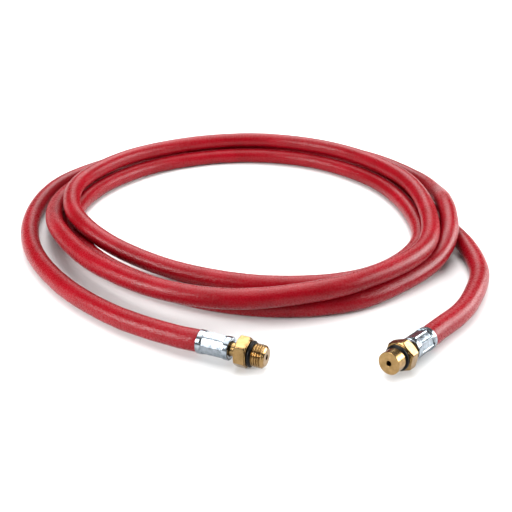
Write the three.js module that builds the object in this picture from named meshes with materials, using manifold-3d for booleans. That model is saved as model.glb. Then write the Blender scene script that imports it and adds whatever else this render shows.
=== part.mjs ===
// Refrigerant charging hose: one rubber hose lying in loose turns on a level floor,
// with a crimped male fitting on each end. Millimetres, +Z up.
// One end has a threaded nose and the other a plain round nose, both sealed by an O-ring.
import * as THREE from 'three';
import { mergeVertices } from 'three/addons/utils/BufferGeometryUtils.js';
import Module from 'manifold-3d';

const wasm = await Module();
wasm.setup();

// Clearances
const touchGap = 0.3;
const bodyOverlap = 1;

// Hose
const hoseDiameter = 13.5;
const hoseBore = 6.4;
const hoseSides = 12;
const hoseSteps = 92;
const boreSides = 8;
const crimpedHoseDiameter = 10.6;
const hoseNeckDiameter = 12.4;
const hoseNeckLength = 3;

// Ferrule
const ferruleLength = 20.5;
const ferruleAcrossFlats = 13.2;
const ferruleFlats = 8;
const ferruleFlangeLength = 1.8;
const bellDiameter = 14.6;
const bellLength = 3.4;
const collarDiameter = 14.2;
const collarLength = 3.2;
const rimRounding = 0.6;

// Brass fitting, shared by both ends
const stemDiameter = hoseBore - 2 * touchGap;
const neckDiameter = 8.4;
const neckLength = 4.5;
const neckGrooveDepth = 0.5;
const neckGrooveWidth = 1;
const hexAcrossFlats = 17;
const hexLength = 6.7;
const hexChamfer = 0.9;
const seatDiameter = 15.6;
const seatLength = 0.6;
const sealLandDiameter = 10.8;
const passageDiameter = 3.2;
const turnedSegments = 32;

// O-ring
const sealSection = 2.2;
const sealSegments = 12;

// Threaded nose, M14 x 1.5
const threadDiameter = 13.9;
const threadPitch = 1.5;
const threadDepth = 0.85;
const threadCrests = 4;
const threadedNoseTaper = 1.6;
const threadedNoseFace = 10.4;

// Plain nose
const plainNoseDiameter = 13.6;
const plainNoseLength = 7.1;
const plainNoseChamfer = 0.5;

// Where the two ends lie: the ferrule's mouth, the heading of the fitting's axis, how far
// its nose tips up and the turn of its hexagon. A corner of the hexagon is on the floor.
const endLayout = {
  threaded_end: { mouth: [-21.2, -170.3], heading: -22.7, tipUp: 0, hexRoll: -17 },
  plain_end: { mouth: [114.5, -164.1], heading: -132.1, tipUp: 5, hexRoll: -4 },
};

// The hose's route between its two straight ends, seen from above: once round on the
// floor, across its own way, then round again on and beside the earlier turns.
const routePoints = [
  [-76, -139.5, 7.3], [-120, -98, 6.9], [-155, -42, 6.9], [-170, 21, 6.9],
  [-164, 80, 6.9], [-138, 122, 6.9], [-96, 161, 6.9], [-48, 183, 6.9],
  [12, 189.5, 6.9], [72, 181, 6.9], [124, 146, 7.1], [158, 94, 8],
  [165.5, 51, 12.5], [163.5, 16, 19.6], [161, -11, 20.3], [155.5, -39, 15.5],
  [142, -64, 9], [111, -96, 7.2], [72, -121, 6.9], [15, -127, 6.9],
  [-43, -109, 6.9], [-94.2, -70.8, 6.9], [-126.3, -23.6, 6.9], [-137, 27, 6.9],
  [-122, 83, 6.9], [-78, 133, 6.9], [-8, 158, 6.9], [62, 145, 6.9],
  [116, 96, 6.9], [138.5, 31, 6.9], [134, -37, 6.9], [90, -87, 6.9],
  [28, -99.5, 6.9], [-35, -84, 7.4], [-86, -56.5, 12.2], [-116, -31, 19],
  [-134, 5, 20.8], [-137.5, 56, 20.6], [-106, 116, 20.6], [-44, 156, 20.6],
  [22, 164, 20.6], [90, 134, 20.6], [136, 72, 20.6], [146.5, 5, 20.6],
  [130, -71, 20.9], [80, -117, 20.7], [42, -133, 20.4], [-3, -138, 19.2],
  [-50, -125, 19], [-100, -87, 18.6], [-135, -35, 17], [-149, 5, 12.5],
  [-153, 41, 9.6], [-145, 81, 7.8], [-118, 120, 7], [-80, 151, 6.9],
  [-28, 170, 6.9], [32, 170.5, 6.9], [96, 141, 6.9], [139, 90, 6.9],
  [153.8, 35.5, 6.9], [161.5, -1, 6.9], [169.5, -40, 6.9], [168, -82, 6.9],
  [152, -119.5, 6.9], [141, -135.8, 6.9],
];
const straightRun = 12;
const straightRunDrop = 0.4;
const restingHeight = 6.9;
const arcLengthSamples = 3000;

// Stations along a fitting's axis, from the ferrule's mouth towards the nose
const flangeStart = ferruleLength - ferruleFlangeLength;
const shoulderStart = flangeStart - touchGap;
const hoseEndStation = shoulderStart - touchGap;
const hexStart = ferruleLength + neckLength;
const seatStart = hexStart + hexLength;
const sealLandStart = seatStart + seatLength;
const noseStart = sealLandStart + sealSection + 2 * touchGap;
const threadedNoseEnd = noseStart + threadPitch * threadCrests + threadedNoseTaper;
const plainNoseEnd = noseStart + plainNoseLength;

// Materials
const finishes = {
  hose: new THREE.MeshStandardMaterial({ color: 0xb01f2e, roughness: 0.5, metalness: 0 }),
  ferrule: new THREE.MeshStandardMaterial({ color: 0xd5dade, roughness: 0.25, metalness: 1 }),
  fitting: new THREE.MeshStandardMaterial({ color: 0xc9a45c, roughness: 0.28, metalness: 1 }),
  o_ring: new THREE.MeshStandardMaterial({ color: 0x141416, roughness: 0.45, metalness: 0 }),
};

// Solids
function toSolid(geometry) {
  const bare = geometry.clone();
  bare.deleteAttribute('normal');
  bare.deleteAttribute('uv');
  const merged = mergeVertices(bare, 1e-4);
  return new wasm.Manifold(new wasm.Mesh({
    numProp: 3,
    vertProperties: new Float32Array(merged.attributes.position.array),
    triVerts: new Uint32Array(merged.index.array),
  }));
}

function toGeometry(solid) {
  const mesh = solid.getMesh();
  const geometry = new THREE.BufferGeometry();
  geometry.setAttribute('position', new THREE.BufferAttribute(mesh.vertProperties, 3));
  geometry.setIndex(new THREE.BufferAttribute(mesh.triVerts, 1));
  geometry.computeVertexNormals();
  return geometry;
}

// Turns a profile of [station, radius] pairs about the fitting's axis, which is +X.
function turned(profile, segments = turnedSegments) {
  const points = profile.map(([station, radius]) => new THREE.Vector2(radius, station));
  return new THREE.LatheGeometry(points, segments).rotateZ(-Math.PI / 2);
}

// A regular prism along +X with one corner straight up.
function prism(acrossFlats, sides, start, end) {
  const radius = acrossFlats / 2 / Math.cos(Math.PI / sides);
  const geometry = new THREE.CylinderGeometry(radius, radius, end - start, sides);
  return geometry.rotateZ(-Math.PI / 2).translate((start + end) / 2, 0, 0);
}

function polygonShape(diameter, sides) {
  const corner = (index) => {
    const angle = 2 * Math.PI * index / sides;
    return new THREE.Vector2(Math.cos(angle), Math.sin(angle)).multiplyScalar(diameter / 2);
  };
  return new THREE.Shape(Array.from({ length: sides }, (unused, index) => corner(index)));
}

function tubeAlong(points, diameter, sides) {
  const curve = new THREE.CatmullRomCurve3(points);
  curve.arcLengthDivisions = arcLengthSamples;
  const shape = polygonShape(diameter, sides);
  return new THREE.ExtrudeGeometry(shape, { steps: hoseSteps, extrudePath: curve });
}

// Frames of the two ends
function endFrame({ mouth, heading, tipUp, hexRoll }) {
  const roll = THREE.MathUtils.degToRad(hexRoll);
  const tip = THREE.MathUtils.degToRad(tipUp);
  const hexCornerRadius = hexAcrossFlats / 2 / Math.cos(Math.PI / 6);
  const turn = Math.PI / 3;
  const lowestCorner = roll - turn * Math.round(roll / turn);
  const cornerDrop = hexCornerRadius * Math.cos(lowestCorner) * Math.cos(tip);
  const height = cornerDrop - (hexStart + hexChamfer) * Math.sin(tip);
  const position = new THREE.Vector3(...mouth, height);
  const yaw = THREE.MathUtils.degToRad(heading);
  const axis = new THREE.Vector3(1, 0, 0).applyEuler(new THREE.Euler(0, -tip, yaw, 'ZYX'));
  return { position, yaw, tip, axis, roll };
}

// Moves a geometry from the fitting's own frame to its place on the floor.
function placeAtEnd(geometry, frame) {
  return geometry
    .rotateX(frame.roll)
    .rotateY(-frame.tip)
    .rotateZ(frame.yaw)
    .translate(frame.position.x, frame.position.y, frame.position.z);
}

function alongAxis(frame, station, drop = 0) {
  const point = frame.position.clone().addScaledVector(frame.axis, station);
  return point.setZ(Math.max(point.z - drop, restingHeight));
}

// Hose: full-size tube between the mouths, necked and crimped ends, one bore through all
function crimpedHoseEnd() {
  const neckStart = -hoseNeckLength;
  const crimpStart = bellLength;
  return turned([
    [neckStart - bodyOverlap, 0],
    [neckStart - bodyOverlap, hoseDiameter / 2 - touchGap],
    [neckStart, hoseDiameter / 2 - touchGap],
    [0, hoseNeckDiameter / 2],
    [crimpStart, crimpedHoseDiameter / 2],
    [hoseEndStation, crimpedHoseDiameter / 2],
    [hoseEndStation, 0],
  ]);
}

function hoseEndBore() {
  return turned([
    [-hoseNeckLength - bodyOverlap, 0],
    [-hoseNeckLength - bodyOverlap, hoseBore / 2],
    [hoseEndStation + bodyOverlap, hoseBore / 2],
    [hoseEndStation + bodyOverlap, 0],
  ]);
}

function hoseGeometry(first, last) {
  const middle = routePoints.map((point) => new THREE.Vector3(...point));
  const body = [
    alongAxis(first, -hoseNeckLength),
    alongAxis(first, -hoseNeckLength - straightRun, straightRunDrop),
    ...middle,
    alongAxis(last, -hoseNeckLength - straightRun, straightRunDrop),
    alongAxis(last, -hoseNeckLength),
  ];
  const outside = toSolid(tubeAlong(body, hoseDiameter, hoseSides))
    .add(toSolid(placeAtEnd(crimpedHoseEnd(), first)))
    .add(toSolid(placeAtEnd(crimpedHoseEnd(), last)));
  const bore = toSolid(tubeAlong(body, hoseBore, boreSides))
    .add(toSolid(placeAtEnd(hoseEndBore(), first)))
    .add(toSolid(placeAtEnd(hoseEndBore(), last)));
  return toGeometry(outside.subtract(bore));
}

// Ferrule: bell mouth, eight crimped flats, end collar, and a flange round the brass neck
function ferruleGeometry() {
  const bell = turned([
    [0, 0],
    [0, bellDiameter / 2 - rimRounding],
    [rimRounding, bellDiameter / 2],
    [bellLength - rimRounding, bellDiameter / 2],
    [bellLength + rimRounding, ferruleAcrossFlats / 2],
    [bellLength + rimRounding, 0],
  ]);
  const collarStart = ferruleLength - collarLength;
  const collar = turned([
    [collarStart - rimRounding, 0],
    [collarStart - rimRounding, ferruleAcrossFlats / 2],
    [collarStart, collarDiameter / 2],
    [ferruleLength - rimRounding, collarDiameter / 2],
    [ferruleLength, collarDiameter / 2 - rimRounding],
    [ferruleLength, 0],
  ]);
  const flats = prism(ferruleAcrossFlats, ferruleFlats, rimRounding, ferruleLength - rimRounding);
  const cavity = turned([
    [-bodyOverlap, 0],
    [-bodyOverlap, hoseNeckDiameter / 2 + touchGap],
    [0, hoseNeckDiameter / 2 + touchGap],
    [bellLength, crimpedHoseDiameter / 2 + touchGap],
    [flangeStart, crimpedHoseDiameter / 2 + touchGap],
    [flangeStart, neckDiameter / 2 + touchGap],
    [ferruleLength + bodyOverlap, neckDiameter / 2 + touchGap],
    [ferruleLength + bodyOverlap, 0],
  ]);
  const outside = toSolid(bell).add(toSolid(flats)).add(toSolid(collar));
  return toGeometry(outside.subtract(toSolid(cavity)));
}

// Noses, as the tail of the fitting's profile
function threadedNoseProfile() {
  const crest = threadDiameter / 2;
  const root = crest - threadDepth;
  const turns = Array.from({ length: threadCrests }, (unused, index) => {
    const start = noseStart + index * threadPitch;
    return [
      [start, root],
      [start + threadPitch * 0.4, crest],
      [start + threadPitch * 0.6, crest],
    ];
  });
  const threadEnd = noseStart + threadPitch * threadCrests;
  return [
    ...turns.flat(),
    [threadEnd, root],
    [threadedNoseEnd, threadedNoseFace / 2],
    [threadedNoseEnd, 0],
  ];
}

function plainNoseProfile() {
  const radius = plainNoseDiameter / 2;
  return [
    [noseStart, radius],
    [plainNoseEnd - plainNoseChamfer, radius],
    [plainNoseEnd, radius - plainNoseChamfer],
    [plainNoseEnd, 0],
  ];
}

// Brass fitting: hose stem, grooved neck, hexagon, seat, O-ring land and nose, with its bore
function fittingGeometry(noseProfile, noseEnd) {
  const stemStart = bellLength;
  const neckMiddle = ferruleLength + neckLength / 2;
  const core = turned([
    [stemStart, 0],
    [stemStart, stemDiameter / 2],
    [shoulderStart, stemDiameter / 2],
    [shoulderStart, neckDiameter / 2],
    [neckMiddle - neckGrooveWidth / 2, neckDiameter / 2],
    [neckMiddle - neckGrooveWidth / 2, neckDiameter / 2 - neckGrooveDepth],
    [neckMiddle + neckGrooveWidth / 2, neckDiameter / 2 - neckGrooveDepth],
    [neckMiddle + neckGrooveWidth / 2, neckDiameter / 2],
    [seatStart - bodyOverlap, neckDiameter / 2],
    [seatStart - bodyOverlap, seatDiameter / 2],
    [sealLandStart, seatDiameter / 2],
    [sealLandStart, sealLandDiameter / 2],
    [noseStart, sealLandDiameter / 2],
    ...noseProfile,
  ]);
  const hexCorner = hexAcrossFlats / 2 / Math.cos(Math.PI / 6);
  const chamferEnvelope = turned([
    [hexStart, 0],
    [hexStart, hexAcrossFlats / 2],
    [hexStart + hexChamfer, hexCorner + touchGap],
    [seatStart - hexChamfer, hexCorner + touchGap],
    [seatStart, hexAcrossFlats / 2],
    [seatStart, 0],
  ]);
  const hexagon = prism(hexAcrossFlats, 6, hexStart, seatStart);
  const passage = turned([
    [0, 0],
    [0, passageDiameter / 2],
    [noseEnd + bodyOverlap, passageDiameter / 2],
    [noseEnd + bodyOverlap, 0],
  ]);
  const outside = toSolid(hexagon).intersect(toSolid(chamferEnvelope)).add(toSolid(core));
  return toGeometry(outside.subtract(toSolid(passage)));
}

function sealGeometry() {
  const tubeRadius = sealSection / 2;
  const ringRadius = sealLandDiameter / 2 + touchGap + tubeRadius;
  const station = sealLandStart + touchGap + tubeRadius;
  const ring = new THREE.TorusGeometry(ringRadius, tubeRadius, sealSegments, turnedSegments);
  return ring.rotateY(Math.PI / 2).translate(station, 0, 0);
}

// Assembly
const object = new THREE.Group();

function addPiece(name, geometry, material) {
  const piece = new THREE.Mesh(geometry, material);
  piece.name = name;
  object.add(piece);
  return piece;
}

function addEndPieces(endName, noseProfile, noseEnd) {
  const frame = endFrame(endLayout[endName]);
  addPiece(`${endName}_ferrule`, placeAtEnd(ferruleGeometry(), frame), finishes.ferrule);
  const fitting = fittingGeometry(noseProfile, noseEnd);
  addPiece(`${endName}_fitting`, placeAtEnd(fitting, frame), finishes.fitting);
  addPiece(`${endName}_o_ring`, placeAtEnd(sealGeometry(), frame), finishes.o_ring);
  return frame;
}

const threadedEnd = addEndPieces('threaded_end', threadedNoseProfile(), threadedNoseEnd);
const plainEnd = addEndPieces('plain_end', plainNoseProfile(), plainNoseEnd);
addPiece('hose', hoseGeometry(threadedEnd, plainEnd), finishes.hose);

// The origin is under the middle of the whole part, on the floor.
const bounds = new THREE.Box3().setFromObject(object);
const middle = bounds.getCenter(new THREE.Vector3());
object.position.set(-middle.x, -middle.y, -bounds.min.z);
object.updateMatrixWorld(true);

export default object;
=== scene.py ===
"""Refrigerant charging hose: red rubber hose in loose turns, with a crimped brass fitting on each end.

Metres, +Z up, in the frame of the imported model. Every piece is a surface worked out with numpy:
the hose is a circle carried along its route, and each fitting piece is a profile carried round
the fitting's axis.
"""
import math

import bpy
import numpy as np
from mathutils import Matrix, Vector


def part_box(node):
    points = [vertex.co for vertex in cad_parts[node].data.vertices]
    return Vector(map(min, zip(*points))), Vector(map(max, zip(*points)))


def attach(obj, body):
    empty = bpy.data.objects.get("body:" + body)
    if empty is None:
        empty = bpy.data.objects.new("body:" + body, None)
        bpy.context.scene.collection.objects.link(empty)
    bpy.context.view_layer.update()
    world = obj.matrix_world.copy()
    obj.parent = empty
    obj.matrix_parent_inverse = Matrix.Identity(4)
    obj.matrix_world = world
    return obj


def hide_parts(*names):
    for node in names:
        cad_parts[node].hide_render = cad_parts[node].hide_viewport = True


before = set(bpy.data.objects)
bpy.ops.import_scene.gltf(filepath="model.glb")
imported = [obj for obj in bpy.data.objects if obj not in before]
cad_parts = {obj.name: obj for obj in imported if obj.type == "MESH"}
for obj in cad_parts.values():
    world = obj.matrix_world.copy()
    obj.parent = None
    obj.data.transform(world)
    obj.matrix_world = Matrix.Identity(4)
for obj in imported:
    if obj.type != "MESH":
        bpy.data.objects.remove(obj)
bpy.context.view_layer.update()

MM = 0.001

# Hose
HOSE_RADIUS = 6.75 * MM
HOSE_RING_STEP = 2.4 * MM
HOSE_SIDES = 48
CRIMPED_HOSE_RADIUS = 5.3 * MM
HOSE_END_STATION = 18.1 * MM
STRAIGHT_RUN_STATIONS = (-3 * MM, -15 * MM)
STRAIGHT_RUN_DROP = 0.4 * MM
RESTING_HEIGHT = 6.9 * MM
CURVE_STEPS = 40

# The ferrule presses the hose fully from this far inside its mouth, and the hose swells
# back to its own radius over the ease
PRESSED_DEPTH = 4.2 * MM
PRESSED_EASE = 5.0 * MM

# Height, length per radian and phase of the two slow waves in the extruded cover
COVER_WAVES = ((0.035 * MM, 9.1 * MM, 0), (0.025 * MM, 3.7 * MM, 1.3))

# The hose's route between its two straight ends, seen from above, through the listed points:
# once round on the floor, over itself at the right, round again inside, a third time on top
# of the earlier turns, and down to the floor for the last stretch.
ROUTE_POINTS = [
    (-0.0760, -0.1395, 0.0073), (-0.1200, -0.0980, 0.0069), (-0.1550, -0.0420, 0.0069),
    (-0.1700, 0.0210, 0.0069), (-0.1640, 0.0800, 0.0069), (-0.1380, 0.1220, 0.0069),
    (-0.0960, 0.1610, 0.0069), (-0.0480, 0.1830, 0.0069), (0.0120, 0.1895, 0.0069),
    (0.0720, 0.1810, 0.0069), (0.1240, 0.1460, 0.0071), (0.1580, 0.0940, 0.0080),
    (0.1655, 0.0510, 0.0125), (0.1635, 0.0160, 0.0196), (0.1610, -0.0110, 0.0203),
    (0.1555, -0.0390, 0.0155), (0.1420, -0.0640, 0.0090), (0.1110, -0.0960, 0.0072),
    (0.0720, -0.1210, 0.0069), (0.0150, -0.1270, 0.0069), (-0.0430, -0.1090, 0.0069),
    (-0.0942, -0.0708, 0.0069), (-0.1263, -0.0236, 0.0069), (-0.1370, 0.0270, 0.0069),
    (-0.1220, 0.0830, 0.0069), (-0.0780, 0.1330, 0.0069), (-0.0080, 0.1580, 0.0069),
    (0.0620, 0.1450, 0.0069), (0.1160, 0.0960, 0.0069), (0.1385, 0.0310, 0.0069),
    (0.1340, -0.0370, 0.0069), (0.0900, -0.0870, 0.0069), (0.0280, -0.0995, 0.0069),
    (-0.0350, -0.0840, 0.0074), (-0.0860, -0.0565, 0.0122), (-0.1160, -0.0310, 0.0190),
    (-0.1340, 0.0050, 0.0208), (-0.1375, 0.0560, 0.0206), (-0.1060, 0.1160, 0.0206),
    (-0.0440, 0.1560, 0.0206), (0.0220, 0.1640, 0.0206), (0.0900, 0.1340, 0.0206),
    (0.1360, 0.0720, 0.0206), (0.1465, 0.0050, 0.0206), (0.1300, -0.0710, 0.0209),
    (0.0800, -0.1170, 0.0207), (0.0420, -0.1330, 0.0204), (-0.0030, -0.1380, 0.0192),
    (-0.0500, -0.1250, 0.0190), (-0.1000, -0.0870, 0.0186), (-0.1350, -0.0350, 0.0170),
    (-0.1490, 0.0050, 0.0125), (-0.1530, 0.0410, 0.0096), (-0.1450, 0.0810, 0.0078),
    (-0.1180, 0.1200, 0.0070), (-0.0800, 0.1510, 0.0069), (-0.0280, 0.1700, 0.0069),
    (0.0320, 0.1705, 0.0069), (0.0960, 0.1410, 0.0069), (0.1390, 0.0900, 0.0069),
    (0.1538, 0.0355, 0.0069), (0.1615, -0.0010, 0.0069), (0.1695, -0.0400, 0.0069),
    (0.1680, -0.0820, 0.0069), (0.1520, -0.1195, 0.0069), (0.1410, -0.1358, 0.0069),
]

# Ferrule
FERRULE_LENGTH = 20.5 * MM
FERRULE_FLATS = 8
FERRULE_FLAT_RADIUS = 6.3 * MM
FERRULE_SIDES = FERRULE_FLATS * 32
FERRULE_EDGE_ROUNDING = 0.45 * MM
BELL_RADIUS = 7.3 * MM
BELL_END = 2.7 * MM
BELL_EASE = 0.6 * MM
COLLAR_RADIUS = 7.1 * MM
COLLAR_START = 17.4 * MM
COLLAR_EASE = 0.5 * MM
WINDOW_ROUNDING = 1.3 * MM
CRIMP_RIDGE_HEIGHT = 0.34 * MM
CRIMP_RIDGE_HALF_WIDTH = 0.24 * MM

# How flat each pressed side is, from 0 for a round tube to 1 for a true flat
FLATNESS = 0.85

# The ferrule's inside, from its flared mouth to the narrower bore of its collar
MOUTH_RADIUS = 6.75 * MM
FLARE_DEPTH = 1.2 * MM
FLARE_RADIUS = 6.1 * MM
BORE_START = 3.4 * MM
BORE_RADIUS = 5.6 * MM
COLLAR_BORE_START = 18.7 * MM
COLLAR_BORE_RADIUS = 4.6 * MM

# Points of the profile that are wider than this belong to the ferrule's outside
OUTSIDE_OVER = 6.3 * MM

# Brass fitting
NECK_START = 15 * MM
NECK_RADIUS = 4.2 * MM
NECK_GROOVE = (23.7 * MM, 24.5 * MM)
NECK_GROOVE_RADIUS = 3.5 * MM
HEX_START = 25.0 * MM
HEX_END = 31.7 * MM
HEX_FLAT_RADIUS = 8.5 * MM
HEX_CORNER_RADIUS = HEX_FLAT_RADIUS / math.cos(math.pi / 6)
HEX_CORNER_ROUNDED = 9.66 * MM
HEX_CHAMFER = 0.9 * MM
HEX_CHAMFER_SLOPE = math.tan(math.radians(60))
HEX_FACE_INSET = 0.1 * MM
HEX_CORNER_BLEND = 0.12 * MM
HEX_CHAMFER_BLEND = 0.22 * MM
SEAT_RADIUS = 7.8 * MM
SEAT_END = 32.3 * MM
SEAL_LAND_RADIUS = 5.4 * MM
NOSE_START = 35.1 * MM
FITTING_SIDES = 240
PROFILE_STEP = 0.22 * MM
THREAD_STEP = 0.1 * MM
TURNED_EDGE_ROUNDING = 0.22 * MM
PASSAGE_RADIUS = 1.6 * MM
PASSAGE_DEPTH = 12 * MM

# The hexagon's shape takes over from the turned profile this near to its flats, and the
# thread's from this far behind the nose
HEX_MARGIN = 0.2 * MM
NOSE_MARGIN = 0.1 * MM

# O-ring
SEAL_SECTION_RADIUS = 1.1 * MM
SEAL_SECTION_SIDES = 28
SEAL_RING_RADIUS = 6.75 * MM
SEAL_RING_SIDES = 96
SEAL_STATION = 33.7 * MM

# Threaded nose, M14 x 1.5
THREAD_CREST_RADIUS = 6.95 * MM
THREAD_DEPTH = 0.85 * MM
THREAD_PITCH = 1.5 * MM
THREAD_START = 35.3 * MM
THREAD_END = 41.1 * MM
THREAD_RUN_IN = 0.8 * MM

# Shares of half a pitch: the rounded crest's top and the flank below it
THREAD_CREST_SHARE = 0.12
THREAD_FLANK_SHARE = 0.8

# The threaded nose ends in a taper
THREADED_NOSE_END = 42.7 * MM
THREADED_NOSE_FACE_RADIUS = 5.2 * MM

# Plain nose
PLAIN_NOSE_RADIUS = 6.8 * MM
PLAIN_NOSE_END = 42.2 * MM

# Each end's place in the layout: ferrule mouth, heading of the axis, how far the nose tips up
# and the turn of the hexagon
END_LAYOUT = {
    "threaded_end": {"mouth": (-0.0212, -0.1703), "heading": -22.7, "tip_up": 0, "hex_roll": -17},
    "plain_end": {"mouth": (0.1145, -0.1641), "heading": -132.1, "tip_up": 5, "hex_roll": -4},
}

# Camera, in the layout's own origin
CAMERA_PLACE = (0.012, -0.535, 0.256)
CAMERA_DOWN = math.radians(27.5)
SENSOR_WIDTH = 36
IMAGE_WIDTH = 512
FOCAL_PIXELS = 740

# Studio: half the floor's side, the strength of the dim surround, and each softbox's place,
# size in metres and power in watts
FLOOR_HALF = 4.0
SURROUND_STRENGTH = 0.15
SOFTBOXES = {
    "overhead_softbox": {"place": (0, 0.1, 1.6), "size": (1.6, 1.4), "power": 26},
    "left_softbox": {"place": (-1.05, -0.58, 0.5), "size": (0.7, 0.3), "power": 20},
    "front_softbox": {"place": (-0.9, -0.8, 0.95), "size": (0.5, 0.25), "power": 3},
    "right_softbox": {"place": (1.15, 0.12, 0.42), "size": (1.1, 0.45), "power": 24},
    "background_softbox": {"place": (0, 2.4, 1.8), "size": (3.2, 1.6), "power": 90, "aim": (0, 2.4, 0)},
}


def end_axis(name):
    """The unit vector along a fitting's axis, from the ferrule's mouth to the nose."""
    heading, tip = (math.radians(END_LAYOUT[name][key]) for key in ("heading", "tip_up"))
    return np.array([math.cos(heading) * math.cos(tip), math.sin(heading) * math.cos(tip), math.sin(tip)])


def end_mouth(name):
    """The middle of a ferrule's mouth in the layout. A corner of the hexagon is on the floor."""
    roll, tip = (math.radians(END_LAYOUT[name][key]) for key in ("hex_roll", "tip_up"))
    height = HEX_CORNER_RADIUS * math.cos(roll) * math.cos(tip) - (HEX_START + HEX_CHAMFER) * math.sin(tip)
    return np.array([*END_LAYOUT[name]["mouth"], height])


def layout_shift():
    """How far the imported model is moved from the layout, read at the threaded end's O-ring."""
    low, high = (np.array(corner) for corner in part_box("threaded_end_o_ring"))
    laid = end_mouth("threaded_end") + SEAL_STATION * end_axis("threaded_end")
    return ((low + high) / 2 - laid) * np.array([1, 1, 0])


SHIFT = layout_shift()


# Meshes

def make_mesh(name, vertices, faces, uvs, material):
    """A smooth-shaded mesh object at the origin, from faces with four corners each.

    Faces are turned outwards by the sign of the volume, a sum of a . (b x c) over triangles.
    A face at a pole has two corners on one point, and one of them is left out.
    """
    corners = np.concatenate([np.column_stack([faces[:, 0], faces[:, k], faces[:, k + 1]])
                              for k in (1, 2)])
    a, b, c = (vertices[corners[:, k]] for k in range(3))
    volume = np.einsum("ij,ij->i", a, np.cross(b, c)).sum()
    if volume < 0:
        faces, uvs = faces[:, ::-1], uvs[:, ::-1]
    kept = np.ones(faces.shape, bool)
    kept[faces[:, 1] == faces[:, 2], 1] = False
    kept[faces[:, 3] == faces[:, 0], 3] = False
    counts = kept.sum(axis=1)
    mesh = bpy.data.meshes.new(name)
    mesh.vertices.add(len(vertices))
    mesh.vertices.foreach_set("co", vertices.astype(np.float32).ravel())
    mesh.loops.add(int(counts.sum()))
    mesh.loops.foreach_set("vertex_index", faces[kept].astype(np.int32))
    mesh.polygons.add(len(faces))
    starts = np.concatenate([[0], np.cumsum(counts)[:-1]])
    mesh.polygons.foreach_set("loop_start", starts.astype(np.int32))
    mesh.polygons.foreach_set("use_smooth", np.ones(len(faces), bool))
    mesh.uv_layers.new(name="surface_uv").data.foreach_set("uv", uvs[kept].astype(np.float32).ravel())
    mesh.update(calc_edges=True)
    mesh.validate()
    mesh.materials.append(material)
    piece = bpy.data.objects.new(name, mesh)
    bpy.context.scene.collection.objects.link(piece)
    return piece


def surface(name, rings, along, around, material, closed_rings=False):
    """A closed surface through rings of points, shaped (rings, sides, 3).

    The rings' first and last shrink to one point each, the poles, unless the row of rings
    closes on itself. The UV map holds metres: along the row of rings and around each ring.
    """
    count, sides = rings.shape[:2]
    index = np.arange(count * sides).reshape(count, sides)
    if not closed_rings:
        index[0], index[-1] = index[0, 0], index[-1, 0]
    lower = np.arange(count if closed_rings else count - 1)
    upper = (lower + 1) % count
    nxt = np.roll(index, -1, axis=1)
    faces = np.stack([index[lower], index[upper], nxt[upper], nxt[lower]], axis=-1)
    across = np.linspace(0, 1, sides + 1)
    along_upper = np.append(along, along[-1] + (along[-1] - along[-2]))[lower + 1]
    u = np.stack([along[lower], along_upper, along_upper, along[lower]], axis=-1)
    v = np.stack([across[:-1], across[:-1], across[1:], across[1:]], axis=-1) * around
    uvs = np.stack(np.broadcast_arrays(u[:, None, :], v[None, :, :]), axis=-1)
    used, compact = np.unique(faces, return_inverse=True)
    return make_mesh(name, rings.reshape(-1, 3)[used], compact.reshape(-1, 4),
                     uvs.reshape(-1, 4, 2), material)


def evenly(points, step):
    """The same line with points an equal distance of about one step apart, and that distance along it."""
    lengths = np.linalg.norm(np.diff(points, axis=0), axis=1)
    reached = np.concatenate([[0], np.cumsum(lengths)])
    along = np.linspace(0, reached[-1], int(round(reached[-1] / step)) + 1)
    line = np.stack([np.interp(along, reached, points[:, k]) for k in range(points.shape[1])], axis=1)
    return line, along


def subdivided(profile, step):
    """A profile of (station, radius) corners with each side cut into equal parts no longer than the step."""
    profile = np.array(profile)
    pieces = []
    for start, end in zip(profile[:-1], profile[1:]):
        parts = max(1, math.ceil(np.linalg.norm(end - start) / step))
        pieces.append(start + (end - start) * np.arange(parts)[:, None] / parts)
    return np.vstack(pieces + [profile[-1:]])


def rounded(profile, radius, steps=4, most=0.45):
    """A profile whose inner corners are replaced by quadratic arcs that start a radius before each corner.

    The arc is (1-t)^2 before + 2t(1-t) corner + t^2 after, and it never takes more than the
    given share of a side.
    """
    profile = np.array(profile)
    t = np.linspace(0, 1, steps + 1)[:, None]
    pieces = [profile[:1]]
    for before, corner, after in zip(profile[:-2], profile[1:-1], profile[2:]):
        back, ahead = before - corner, after - corner
        back_length, ahead_length = np.linalg.norm(back), np.linalg.norm(ahead)
        p = corner + back * min(most, radius / back_length)
        q = corner + ahead * min(most, radius / ahead_length)
        pieces.append((1 - t) ** 2 * p + 2 * t * (1 - t) * corner + t ** 2 * q)
    return np.vstack(pieces + [profile[-1:]])


def profile_length(profile):
    """The distance along a profile from its first point to each of its points."""
    return np.concatenate([[0], np.cumsum(np.linalg.norm(np.diff(profile, axis=0), axis=1))])


def smooth_step(value):
    """3x^2 - 2x^3 of the value held between 0 and 1."""
    x = np.clip(value, 0, 1)
    return x * x * (3 - 2 * x)


def soft_least(a, b, blend):
    """The lesser of two lengths, with the crease between them rounded over the blend.

    The share of a goes from 0 to 1 while b - a goes from -blend to blend, and the result is
    a share + b (1 - share) - blend share (1 - share).
    """
    share = np.clip(0.5 + 0.5 * (b - a) / blend, 0, 1)
    return b + (a - b) * share - blend * share * (1 - share)


def around_axis(name, stations, radii, turn):
    """Points at each station and radius round a fitting's axis, at angles turned from straight up.

    Point = mouth + station * axis + radius * (cos(angle) up - sin(angle) left).
    """
    axis = end_axis(name)
    left = np.cross([0.0, 0.0, 1.0], axis)
    left /= np.linalg.norm(left)
    up = np.cross(axis, left)
    spoke = np.cos(turn)[:, None] * up - np.sin(turn)[:, None] * left
    return (end_mouth(name) + SHIFT + stations[..., None] * axis
            + radii[..., None] * spoke[None, :, :])


# Hose

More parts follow.
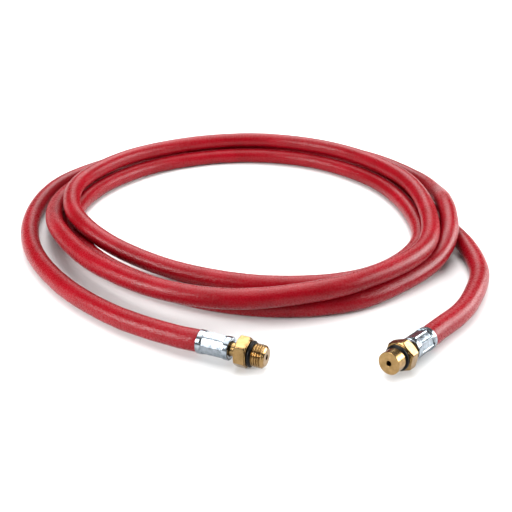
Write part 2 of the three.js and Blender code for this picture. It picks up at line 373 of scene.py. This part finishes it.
def hose_curve():
    """The hose's centreline: a centripetal Catmull-Rom curve through the route's points.

    Each stretch is a cubic Hermite curve. Its end tangents are the difference quotients of the
    three neighbouring chords, over steps that are the square roots of the chords' lengths.
    Two points behind each ferrule's mouth hold the hose straight there.
    """
    first, last = "threaded_end", "plain_end"

    def straight(name):
        run = [end_mouth(name) + station * end_axis(name) - np.array([0, 0, drop])
               for station, drop in zip(STRAIGHT_RUN_STATIONS, (0, STRAIGHT_RUN_DROP))]
        return [np.array([*point[:2], max(point[2], RESTING_HEIGHT)]) for point in run]

    points = np.array(straight(first) + list(ROUTE_POINTS) + straight(last)[::-1]) + SHIFT
    padded = np.vstack([2 * points[0] - points[1], points, 2 * points[-1] - points[-2]])
    p0, p1, p2, p3 = (padded[k:len(padded) - 3 + k][:, None] for k in range(4))
    d0, d1, d2 = (np.sqrt(np.linalg.norm(b - a, axis=2))[..., None]
                  for a, b in ((p0, p1), (p1, p2), (p2, p3)))
    m1 = ((p1 - p0) / d0 - (p2 - p0) / (d0 + d1) + (p2 - p1) / d1) * d1
    m2 = ((p2 - p1) / d1 - (p3 - p1) / (d1 + d2) + (p3 - p2) / d2) * d1
    t = np.linspace(0, 1, CURVE_STEPS, endpoint=False)[None, :, None]
    curve = ((2 * t**3 - 3 * t**2 + 1) * p1 + (t**3 - 2 * t**2 + t) * m1
             + (3 * t**2 - 2 * t**3) * p2 + (t**3 - t**2) * m2)
    inside = [end_mouth(name) + SHIFT + HOSE_END_STATION * end_axis(name) for name in (first, last)]
    return np.vstack([inside[:1], curve.reshape(-1, 3), padded[-2:-1], inside[1:]])


def hose_radius(along, total):
    """The hose's radius: full between the ferrules, and pressed in to the crimped radius inside them.

    Two slow sine waves a few hundredths of a millimetre high stand for the extruded cover's
    unevenness.
    """
    from_mouth = np.minimum(along, total - along) - HOSE_END_STATION
    pressed = 1 - smooth_step((from_mouth + PRESSED_DEPTH) / PRESSED_EASE)
    waves = sum(height * np.sin(along / length + phase) for height, length, phase in COVER_WAVES)
    return HOSE_RADIUS + waves - pressed * (HOSE_RADIUS - CRIMPED_HOSE_RADIUS)


def make_hose(material):
    """A circle carried along the route: centre + radius * (cos(angle) up + sin(angle) side)."""
    line, along = evenly(hose_curve(), HOSE_RING_STEP)
    tangent = np.gradient(line, axis=0)
    tangent /= np.linalg.norm(tangent, axis=1)[:, None]
    side = np.cross(tangent, [0.0, 0.0, 1.0])
    side /= np.linalg.norm(side, axis=1)[:, None]
    up = np.cross(side, tangent)
    radius = hose_radius(along, along[-1])[:, None, None]
    angle = np.linspace(0, 2 * math.pi, HOSE_SIDES, endpoint=False)[None, :, None]
    rings = line[:, None] + radius * (np.cos(angle) * up[:, None] + np.sin(angle) * side[:, None])
    ends = [line[:1, None].repeat(HOSE_SIDES, axis=1), line[-1:, None].repeat(HOSE_SIDES, axis=1)]
    rings = np.concatenate([ends[0], rings, ends[1]])
    along = np.concatenate([along[:1], along, along[-1:]])
    piece = surface("hose_tube", rings, along, 2 * math.pi * HOSE_RADIUS, material)
    return piece, line


# Ferrule

def crimped_radius(turn):
    """The eight pressed flats: flat radius * (1 + flatness * (1 / cos(angle from the flat's middle) - 1)).

    Where two jaws met, a low ridge is left: height * exp(-(distance / half width)^2).
    """
    flat = 2 * math.pi / FERRULE_FLATS
    off_middle = turn % flat - flat / 2
    radius = FERRULE_FLAT_RADIUS * (1 + FLATNESS * (1 / np.cos(off_middle) - 1))
    to_ridge = (flat / 2 - np.abs(off_middle)) * FERRULE_FLAT_RADIUS
    return radius + CRIMP_RIDGE_HEIGHT * np.exp(-(to_ridge / CRIMP_RIDGE_HALF_WIDTH) ** 2)


def make_ferrule(end, material):
    """A closed profile carried round the axis.

    Between the bell mouth and the end collar its outer radius passes into the crimped flats,
    whose ends are rounded: each flat's end is moved in by the rounding times the fourth power
    of the distance from the flat's middle.
    """
    loop = [(FLARE_DEPTH, FLARE_RADIUS), (0.0, MOUTH_RADIUS), (0.0, BELL_RADIUS),
            (FERRULE_LENGTH, BELL_RADIUS), (FERRULE_LENGTH, COLLAR_BORE_RADIUS),
            (COLLAR_BORE_START, COLLAR_BORE_RADIUS), (COLLAR_BORE_START, BORE_RADIUS),
            (BORE_START, BORE_RADIUS), (FLARE_DEPTH, FLARE_RADIUS)]
    profile = subdivided(rounded(loop, FERRULE_EDGE_ROUNDING), PROFILE_STEP)[:-1]
    roll = math.radians(END_LAYOUT[end]["hex_roll"])
    turn = np.linspace(0, 2 * math.pi, FERRULE_SIDES, endpoint=False)
    stations = profile[:, 0][:, None].repeat(FERRULE_SIDES, axis=1)
    radii = profile[:, 1][:, None].repeat(FERRULE_SIDES, axis=1)
    outside = radii > OUTSIDE_OVER
    flat = 2 * math.pi / FERRULE_FLATS
    rounding = WINDOW_ROUNDING * np.abs(2 * (turn % flat) / flat - 1) ** 4
    to_crimp = smooth_step((stations - BELL_END - rounding) / BELL_EASE)
    to_collar = smooth_step((stations - COLLAR_START + COLLAR_EASE + rounding) / COLLAR_EASE)
    shape = (1 - to_crimp) * BELL_RADIUS + to_crimp * (
        (1 - to_collar) * crimped_radius(turn)[None, :] + to_collar * COLLAR_RADIUS)
    radii = np.where(outside, radii - BELL_RADIUS + shape, radii)
    rings = around_axis(end, stations, radii, turn + roll)
    return surface(f"{end}_crimped_ferrule", rings, profile_length(profile),
                   2 * math.pi * BELL_RADIUS, material, closed_rings=True)


# Brass fittings

def hexagon_radius(stations, turn):
    """The chamfered hexagon: the least of the flats' radius / cos(angle from the flat's middle),
    the turned corner radius, and the two chamfer cones that rise from just inside the flats."""
    flat = math.pi / 3
    off_middle = turn % flat - flat / 2
    flats = HEX_FLAT_RADIUS / np.cos(off_middle)[None, :]
    from_face = np.minimum(stations - HEX_START, HEX_END - stations)
    cone = HEX_FLAT_RADIUS - HEX_FACE_INSET + from_face * HEX_CHAMFER_SLOPE
    return soft_least(soft_least(flats, HEX_CORNER_ROUNDED, HEX_CORNER_BLEND), cone, HEX_CHAMFER_BLEND)


def thread_cut(stations, turn):
    """How deep the thread is cut at each point: a rounded V that moves one pitch along the axis in
    a turn, right-handed. Its crests rise from the root over the run-in, next to the O-ring."""
    phase = ((stations - THREAD_START) / THREAD_PITCH - turn[None, :] / (2 * math.pi)) % 1.0
    from_crest = np.abs(phase - 0.5) * 2
    groove = smooth_step((from_crest - THREAD_CREST_SHARE) / THREAD_FLANK_SHARE)
    fade = smooth_step((stations - THREAD_START + THREAD_RUN_IN) / THREAD_RUN_IN)
    return THREAD_DEPTH * (1 - (1 - groove) * fade)


def fitting_profile(nose):
    """The turned profile from inside the ferrule to the nose, and into the passage.

    Its steps are finer from the nose's start to its face, to carry the thread.
    """
    nose_end = nose[-1][0]
    body = [(NECK_START, 0), (NECK_START, NECK_RADIUS), (NECK_GROOVE[0], NECK_RADIUS),
            (NECK_GROOVE[0], NECK_GROOVE_RADIUS), (NECK_GROOVE[1], NECK_GROOVE_RADIUS),
            (NECK_GROOVE[1], NECK_RADIUS), (HEX_START, NECK_RADIUS),
            (HEX_START, HEX_FLAT_RADIUS), (HEX_END, HEX_FLAT_RADIUS),
            (HEX_END, SEAT_RADIUS), (SEAT_END, SEAT_RADIUS), (SEAT_END, SEAL_LAND_RADIUS),
            (NOSE_START, SEAL_LAND_RADIUS)]
    passage = [(nose_end, PASSAGE_RADIUS), (nose_end - PASSAGE_DEPTH, PASSAGE_RADIUS),
               (nose_end - PASSAGE_DEPTH, 0)]
    profile = rounded(body + nose + passage, TURNED_EDGE_ROUNDING)
    split = np.argmax(profile[:, 0] > NOSE_START)
    after = split + np.argmax(profile[split:, 1] < THREADED_NOSE_FACE_RADIUS)
    return np.vstack([subdivided(profile[:split + 1], PROFILE_STEP)[:-1],
                      subdivided(profile[split:after + 1], THREAD_STEP)[:-1],
                      subdivided(profile[after:], PROFILE_STEP)])


def make_fitting(end, material):
    """A turned profile carried round the axis, with the hexagon's flats and the thread's groove
    worked into its radius."""
    threaded = end == "threaded_end"
    if threaded:
        nose = [(NOSE_START, THREAD_CREST_RADIUS), (THREAD_END, THREAD_CREST_RADIUS),
                (THREADED_NOSE_END, THREADED_NOSE_FACE_RADIUS)]
    else:
        nose = [(NOSE_START, PLAIN_NOSE_RADIUS), (PLAIN_NOSE_END, PLAIN_NOSE_RADIUS)]
    profile = fitting_profile(nose)
    roll = math.radians(END_LAYOUT[end]["hex_roll"])
    turn = np.linspace(0, 2 * math.pi, FITTING_SIDES, endpoint=False)
    stations = profile[:, 0][:, None].repeat(FITTING_SIDES, axis=1)
    radii = profile[:, 1][:, None].repeat(FITTING_SIDES, axis=1)
    on_hex = (stations > HEX_START) & (stations < HEX_END) & (radii > HEX_FLAT_RADIUS - HEX_MARGIN)
    radii = np.where(on_hex, hexagon_radius(stations, turn), radii)
    if threaded:
        thread = THREAD_CREST_RADIUS - thread_cut(stations, turn)
        radii = np.where(stations > NOSE_START - NOSE_MARGIN, np.minimum(radii, thread), radii)
    rings = around_axis(end, stations, radii, turn + roll)
    return surface(f"{end}_brass_fitting", rings, profile_length(profile),
                   2 * math.pi * NECK_RADIUS, material)


def make_o_ring(end, material):
    """A circle carried round the axis."""
    section = np.linspace(0, 2 * math.pi, SEAL_SECTION_SIDES, endpoint=False)
    turn = np.linspace(0, 2 * math.pi, SEAL_RING_SIDES, endpoint=False)
    stations = SEAL_STATION - SEAL_SECTION_RADIUS * np.cos(section)
    radii = SEAL_RING_RADIUS + SEAL_SECTION_RADIUS * np.sin(section)
    rings = around_axis(end, stations[:, None].repeat(SEAL_RING_SIDES, axis=1),
                        radii[:, None].repeat(SEAL_RING_SIDES, axis=1), turn)
    return surface(f"{end}_black_o_ring", rings, section * SEAL_SECTION_RADIUS,
                   2 * math.pi * SEAL_RING_RADIUS, material, closed_rings=True)


# Materials

def colour(hex_text):
    """An sRGB hex colour as the linear one that a shader takes."""
    srgb = np.array([int(hex_text[k:k + 2], 16) for k in (1, 3, 5)]) / 255
    linear = np.where(srgb <= 0.04045, srgb / 12.92, ((srgb + 0.055) / 1.055) ** 2.4)
    return (*linear.tolist(), 1.0)


def add_node(material, kind, inputs=(), **settings):
    """A new node with its settings, and with its inputs set to values or linked to sockets."""
    node = material.node_tree.nodes.new(kind)
    for name, value in settings.items():
        setattr(node, name, value)
    for socket, value in dict(inputs).items():
        if isinstance(value, bpy.types.NodeSocket):
            material.node_tree.links.new(value, node.inputs[socket])
        else:
            node.inputs[socket].default_value = value
    return node


def new_material(name):
    """A material with an empty node tree."""
    material = bpy.data.materials.new(name)
    material.use_nodes = True
    material.node_tree.nodes.clear()
    return material


def finish_material(material, inputs):
    """The material with its shader, set or linked as the inputs say."""
    shader = add_node(material, "ShaderNodeBsdfPrincipled", inputs)
    add_node(material, "ShaderNodeOutputMaterial", {"Surface": shader.outputs[0]})
    return material


def extruded_red_rubber():
    """EPDM cover, extruded and vulcanised: satin, with a fine grain that breaks up its highlights.

    The grain is about 1 mm across, coarser than the real one so that it shows. Clouds of the
    dye are about 22 mm across.
    """
    material = new_material("extruded_red_rubber")
    place = add_node(material, "ShaderNodeTexCoord").outputs["Object"]
    grain = add_node(material, "ShaderNodeTexNoise", {"Vector": place, "Scale": 1000, "Detail": 2})
    cloud = add_node(material, "ShaderNodeTexNoise", {"Vector": place, "Scale": 45, "Detail": 2})
    tint = add_node(material, "ShaderNodeValToRGB", {"Fac": cloud.outputs["Fac"]})
    tint.color_ramp.elements[0].position = 0.35
    tint.color_ramp.elements[0].color = colour("#7a030f")
    tint.color_ramp.elements[1].position = 0.65
    tint.color_ramp.elements[1].color = colour("#860515")
    gloss = add_node(material, "ShaderNodeMapRange",
                     {"Value": grain.outputs["Fac"], "From Min": 0.3, "From Max": 0.7,
                      "To Min": 0.22, "To Max": 0.34})
    relief = add_node(material, "ShaderNodeBump",
                      {"Height": grain.outputs["Fac"], "Strength": 1.0, "Distance": 0.3 * MM})
    return finish_material(material, {
        "Base Color": tint.outputs["Color"], "Roughness": gloss.outputs["Result"],
        "Normal": relief.outputs["Normal"], "IOR": 1.52, "Specular IOR Level": 0.2})


def zinc_plated_steel():
    """Steel tube, turned, zinc plated and crimped: bright and faintly blue, in soft blotches.

    The blotches are about 2.4 mm across, as the plating clouds where the jaws pressed it.
    """
    material = new_material("zinc_plated_steel")
    place = add_node(material, "ShaderNodeTexCoord").outputs["Object"]
    blotch = add_node(material, "ShaderNodeTexNoise", {"Vector": place, "Scale": 420, "Detail": 3})
    tint = add_node(material, "ShaderNodeValToRGB", {"Fac": blotch.outputs["Fac"]})
    tint.color_ramp.elements[0].position = 0.3
    tint.color_ramp.elements[0].color = colour("#6c757d")
    tint.color_ramp.elements[1].position = 0.7
    tint.color_ramp.elements[1].color = colour("#a0a8af")
    gloss = add_node(material, "ShaderNodeMapRange",
                     {"Value": blotch.outputs["Fac"], "To Min": 0.14, "To Max": 0.26})
    relief = add_node(material, "ShaderNodeBump",
                      {"Height": blotch.outputs["Fac"], "Strength": 0.2, "Distance": 0.05 * MM})
    return finish_material(material, {
        "Base Color": tint.outputs["Color"], "Metallic": 1.0,
        "Roughness": gloss.outputs["Result"], "Normal": relief.outputs["Normal"]})


def turned_brass():
    """Free-cutting brass, turned from hexagon bar: warm gold with low turning rings.

    The rings are about 1 mm apart, coarser than the cutter's real ones so that they show. The
    tarnish lies in blotches about 3.3 mm across.
    """
    material = new_material("turned_brass")
    coordinates = add_node(material, "ShaderNodeTexCoord")
    blotch = add_node(material, "ShaderNodeTexNoise",
                      {"Vector": coordinates.outputs["Object"], "Scale": 300, "Detail": 3})
    rings = add_node(material, "ShaderNodeTexWave",
                     {"Vector": coordinates.outputs["UV"], "Scale": 320, "Distortion": 1.5, "Detail": 1},
                     bands_direction="X")
    tint = add_node(material, "ShaderNodeValToRGB", {"Fac": blotch.outputs["Fac"]})
    tint.color_ramp.elements[0].position = 0.3
    tint.color_ramp.elements[0].color = colour("#7a613c")
    tint.color_ramp.elements[1].position = 0.7
    tint.color_ramp.elements[1].color = colour("#9c7f55")
    gloss = add_node(material, "ShaderNodeMapRange",
                     {"Value": blotch.outputs["Fac"], "To Min": 0.16, "To Max": 0.3})
    relief = add_node(material, "ShaderNodeBump",
                      {"Height": rings.outputs["Fac"], "Strength": 0.12, "Distance": 0.03 * MM})
    return finish_material(material, {
        "Base Color": tint.outputs["Color"], "Metallic": 1.0,
        "Roughness": gloss.outputs["Result"], "Normal": relief.outputs["Normal"]})


def moulded_black_nitrile():
    """Moulded nitrile rubber: black, lightly oiled, so it takes small clear highlights.

    The mould's grain is about 0.8 mm across, coarser than the real one so that it shows.
    """
    material = new_material("moulded_black_nitrile")
    place = add_node(material, "ShaderNodeTexCoord").outputs["Object"]
    grain = add_node(material, "ShaderNodeTexNoise", {"Vector": place, "Scale": 1200, "Detail": 2})
    tint = add_node(material, "ShaderNodeValToRGB", {"Fac": grain.outputs["Fac"]})
    tint.color_ramp.elements[0].color = colour("#020203")
    tint.color_ramp.elements[1].color = colour("#060607")
    gloss = add_node(material, "ShaderNodeMapRange",
                     {"Value": grain.outputs["Fac"], "To Min": 0.25, "To Max": 0.4})
    relief = add_node(material, "ShaderNodeBump",
                      {"Height": grain.outputs["Fac"], "Strength": 0.15, "Distance": 0.03 * MM})
    return finish_material(material, {
        "Base Color": tint.outputs["Color"], "Roughness": gloss.outputs["Result"],
        "Normal": relief.outputs["Normal"], "IOR": 1.52, "Specular IOR Level": 0.12})


def white_floor_paint():
    """Matt emulsion paint, rolled on: an even white with no highlights."""
    material = new_material("white_floor_paint")
    return finish_material(material, {"Base Color": colour("#e2e2e2"), "Roughness": 0.7})


# Camera, light and floor

def make_camera():
    """A level camera at the photograph's height and distance, tipped down to its viewing angle."""
    data = bpy.data.cameras.new("camera")
    data.sensor_width = SENSOR_WIDTH
    data.lens = FOCAL_PIXELS / IMAGE_WIDTH * SENSOR_WIDTH
    data.clip_start = 0.01
    camera = bpy.data.objects.new("camera", data)
    camera.location = (np.array(CAMERA_PLACE) + SHIFT).tolist()
    camera.rotation_euler = (math.pi / 2 - CAMERA_DOWN, 0, 0)
    bpy.context.scene.collection.objects.link(camera)
    bpy.context.scene.camera = camera


def softbox(name, place, size, power, aim=(0, 0, 0)):
    """A rectangular area light that faces the aim."""
    data = bpy.data.lights.new(name, "AREA")
    data.shape = "RECTANGLE"
    data.size, data.size_y = size
    data.energy = power
    light = bpy.data.objects.new(name, data)
    light.location = place
    direction = np.array(aim, float) - np.array(place, float)
    yaw = math.atan2(direction[1], direction[0])
    drop = math.atan2(direction[2], math.hypot(direction[0], direction[1]))
    light.rotation_euler = (math.pi / 2 + drop, 0, yaw - math.pi / 2)
    bpy.context.scene.collection.objects.link(light)


def make_studio():
    """White floor, a dim surround and the softboxes: a large one overhead, one on each side, a
    small one at the front left, and one over the far floor that turns it white."""
    corners = [(x * FLOOR_HALF, y * FLOOR_HALF, 0) for x, y in ((-1, -1), (1, -1), (1, 1), (-1, 1))]
    mesh = bpy.data.meshes.new("floor")
    mesh.from_pydata(corners, [], [(0, 1, 2, 3)])
    mesh.materials.append(white_floor_paint())
    floor = bpy.data.objects.new("floor", mesh)
    bpy.context.scene.collection.objects.link(floor)
    world = bpy.data.worlds.new("studio")
    world.use_nodes = True
    background = world.node_tree.nodes["Background"]
    background.inputs["Color"].default_value = (1, 1, 1, 1)
    background.inputs["Strength"].default_value = SURROUND_STRENGTH
    bpy.context.scene.world = world
    for name, light in SOFTBOXES.items():
        softbox(name, **light)
    bpy.context.scene.view_settings.view_transform = "Standard"


def main():
    """Make every piece, tie it to its node in the frame, and set up the studio."""
    make_camera()
    rubber, zinc = extruded_red_rubber(), zinc_plated_steel()
    brass, nitrile = turned_brass(), moulded_black_nitrile()
    hose, path = make_hose(rubber)
    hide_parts("hose")
    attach(hose, "root")
    for end in END_LAYOUT:
        for maker, material, node, slot in (
                (make_ferrule, zinc, "ferrule", "ferrule_steel"),
                (make_fitting, brass, "fitting", "fitting_brass"),
                (make_o_ring, nitrile, "o_ring", "seal_rubber")):
            piece = maker(end, material)
            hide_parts(f"{end}_{node}")
            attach(piece, "root")
    make_studio()


main()
